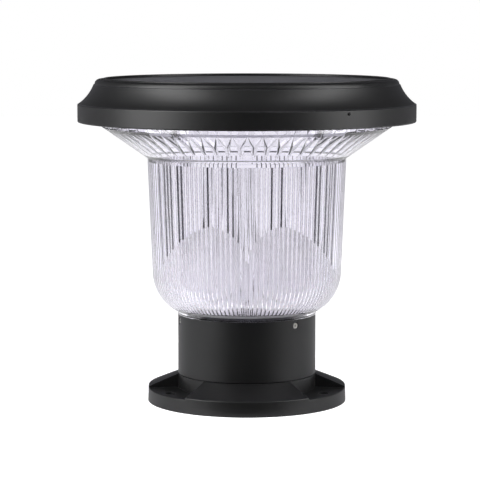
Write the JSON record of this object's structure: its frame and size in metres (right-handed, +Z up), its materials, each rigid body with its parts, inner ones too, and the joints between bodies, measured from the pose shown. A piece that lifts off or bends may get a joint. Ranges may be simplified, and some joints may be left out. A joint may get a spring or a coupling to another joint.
{
  "type": "solar pillar light",
  "caption": "Round solar pillar light: cast flange and column, a clear fluted bowl with a flared prismatic rim, and a wide black head with a solar panel on top.",
  "frame": {"origin": "centre of the mounting face, on the underside of the base flange", "axes": "+Z up along the light's axis, -Y to the front, +X to the right seen from the front"},
  "size_m": [0.25, 0.25, 0.2402],
  "materials": {
    "black_powder_coat": "satin",
    "clear_polycarbonate": "gloss",
    "stainless_steel": "satin",
    "black_oxide_steel": "satin",
    "white_abs": "satin",
    "black_abs": "matte",
    "silicone_rubber": "matte",
    "foam_tape": "matte",
    "strap_webbing": "matte",
    "black_laminate": "satin",
    "green_laminate": "satin",
    "white_metal_core_board": "matte",
    "silicon_cell": "gloss",
    "panel_cover_glass": "gloss",
    "led_phosphor": "satin",
    "cell_wrap": "satin",
    "nickel_strip": "satin",
    "lead_insulation": "satin"
  },
  "bodies": {
    "light": {"base_flange": "black_powder_coat", "column": "black_powder_coat", "column_screws": "stainless_steel", "neck_screws": "stainless_steel", "diffuser": "clear_polycarbonate", "reflector": "white_abs", "reflector_screw": "stainless_steel", "head_base": "black_powder_coat", "diffuser_gasket": "silicone_rubber", "diffuser_screws": "stainless_steel", "cover_screws": "black_oxide_steel", "cover_seal": "silicone_rubber", "top_cover": "black_powder_coat", "panel_gasket": "foam_tape", "panel_board": "black_laminate", "solar_cells": "silicon_cell", "panel_glass": "panel_cover_glass", "led_board": "white_metal_core_board", "leds": "led_phosphor", "led_board_screws": "stainless_steel", "lead_grommet": "silicone_rubber", "battery_cradle": "black_abs", "battery_cells": "cell_wrap", "battery_tabs": "nickel_strip", "battery_strap": "strap_webbing", "cradle_screws": "stainless_steel", "controller_board": "green_laminate", "board_components": "black_abs", "board_plugs": "white_abs", "board_screws": "stainless_steel", "switch_body": "black_abs", "switch_board": "green_laminate", "switch_screws": "stainless_steel", "light_leads": "lead_insulation", "switch_leads": "lead_insulation", "panel_leads": "lead_insulation", "battery_leads": "lead_insulation"},
    "button": {"mode_button": "silicone_rubber", "switch_plunger": "white_abs"}
  },
  "joints": [
    {"name": "button_press", "type": "slide", "parent": "light", "child": "button", "axis": [0, 0, 1], "range_m": [0, 0.0015], "stiffness_N_per_m": 1200, "springref_m": -0.0003}
  ]
}
